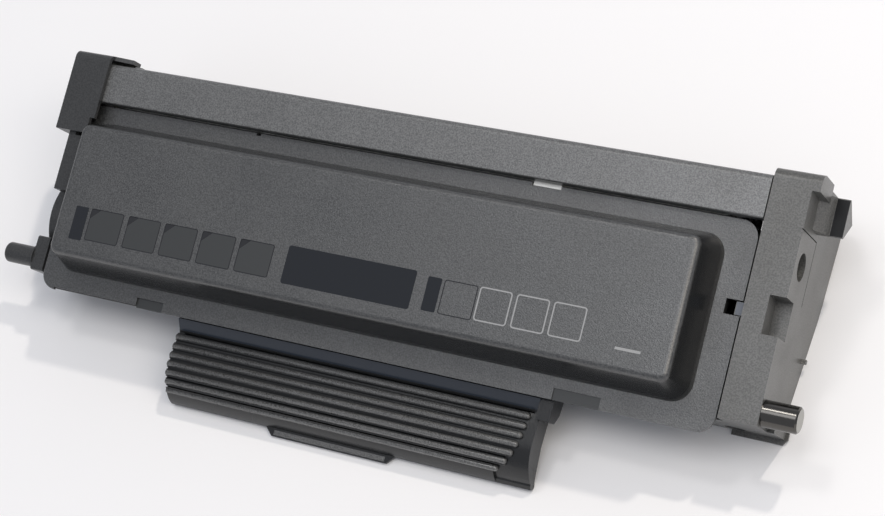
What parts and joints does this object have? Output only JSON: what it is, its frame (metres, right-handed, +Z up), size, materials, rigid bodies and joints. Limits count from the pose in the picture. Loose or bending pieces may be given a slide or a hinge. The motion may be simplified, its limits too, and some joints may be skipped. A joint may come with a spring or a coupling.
{
  "type": "toner cartridge",
  "caption": "Laser printer toner cartridge: lidded toner hopper with ribbed carry handle, end caps with guide pins, covered developer roller and its gear train.",
  "frame": {"origin": "on the resting plane, under the middle of the overall box", "axes": "+X along the cartridge towards the contact side, +Y from the handle to the developer roller, +Z up as it rests on a table"},
  "size_m": [0.2764, 0.1098, 0.0517],
  "materials": {
    "lid_plastic": "fine spark eroded grain",
    "casing_plastic": "moulded",
    "cap_plastic": "fine grain",
    "grip_plastic": "satin gloss",
    "pin_steel": "turned, dark bright",
    "shaft_steel": "ground",
    "sheet_steel": "galvanised",
    "screw_steel": "zinc plated",
    "roller_rubber": "ground satin",
    "roller_foam": "open cell",
    "gear_plastic": "natural acetal",
    "bush_plastic": "moulded",
    "contact_plastic": "conductive, moulded",
    "felt": "needled felt",
    "film": "polyester film"
  },
  "bodies": {
    "cartridge_body": {"hopper_casing": "casing_plastic", "hopper_lid": "lid_plastic", "roller_bar_cover": "cap_plastic", "gear_end_cap": "cap_plastic", "contact_end_cap": "cap_plastic", "guide_pin": "pin_steel", "carry_handle": "grip_plastic", "blade_bracket": "sheet_steel", "doctor_blade": "sheet_steel", "blade_screws": "screw_steel", "developer_bush_left": "bush_plastic", "developer_bush_right": "bush_plastic", "supply_bush_left": "bush_plastic", "supply_bush_right": "bush_plastic", "roller_end_seals": "felt", "lip_seal_film": "film", "agitator_seal": "roller_rubber", "developer_contact": "contact_plastic", "supply_contact": "contact_plastic", "fill_plug": "bush_plastic", "gear_cap_screws": "screw_steel", "contact_cap_screws": "screw_steel"},
    "developer_roller": {"developer_shaft": "shaft_steel", "developer_sleeve": "roller_rubber", "developer_gear": "gear_plastic"},
    "supply_roller": {"supply_shaft": "shaft_steel", "supply_foam": "roller_foam", "supply_gear": "gear_plastic"},
    "agitator": {"agitator_shaft": "casing_plastic", "agitator_film": "film", "agitator_gear": "gear_plastic"},
    "coupling": {"drive_coupling": "gear_plastic"},
    "front_idler": {"front_idler_gear": "gear_plastic"},
    "rear_idler": {"rear_idler_gear": "gear_plastic"}
  },
  "joints": [
    {"name": "developer_roller_spin", "type": "hinge", "parent": "cartridge_body", "child": "developer_roller", "pos_m": [-0.11975, 0.03984, 0.02343], "axis": [1, 0, 0], "continuous": true},
    {"name": "rear_idler_spin", "type": "hinge", "parent": "cartridge_body", "child": "rear_idler", "pos_m": [-0.11975, 0.02686, 0.02747], "axis": [1, 0, 0], "continuous": true},
    {"name": "supply_roller_spin", "type": "hinge", "parent": "cartridge_body", "child": "supply_roller", "pos_m": [-0.11975, 0.02757, 0.01429], "axis": [1, 0, 0], "continuous": true},
    {"name": "front_idler_spin", "type": "hinge", "parent": "cartridge_body", "child": "front_idler", "pos_m": [-0.11975, 0.01493, 0.01631], "axis": [1, 0, 0], "continuous": true},
    {"name": "coupling_spin", "type": "hinge", "parent": "cartridge_body", "child": "coupling", "pos_m": [-0.11975, -0.00134, 0.01425], "axis": [1, 0, 0], "continuous": true},
    {"name": "agitator_spin", "type": "hinge", "parent": "cartridge_body", "child": "agitator", "pos_m": [-0.11975, 0.00444, 0.02192], "axis": [1, 0, 0], "continuous": true}
  ],
  "couplings": [
    {"joint": "rear_idler_spin", "follows": "developer_roller_spin", "ratio": -0.88889},
    {"joint": "supply_roller_spin", "follows": "developer_roller_spin", "ratio": 1.0667},
    {"joint": "front_idler_spin", "follows": "developer_roller_spin", "ratio": -0.94118},
    {"joint": "coupling_spin", "follows": "developer_roller_spin", "ratio": 0.66667},
    {"joint": "agitator_spin", "follows": "developer_roller_spin", "ratio": -0.47619}
  ]
}
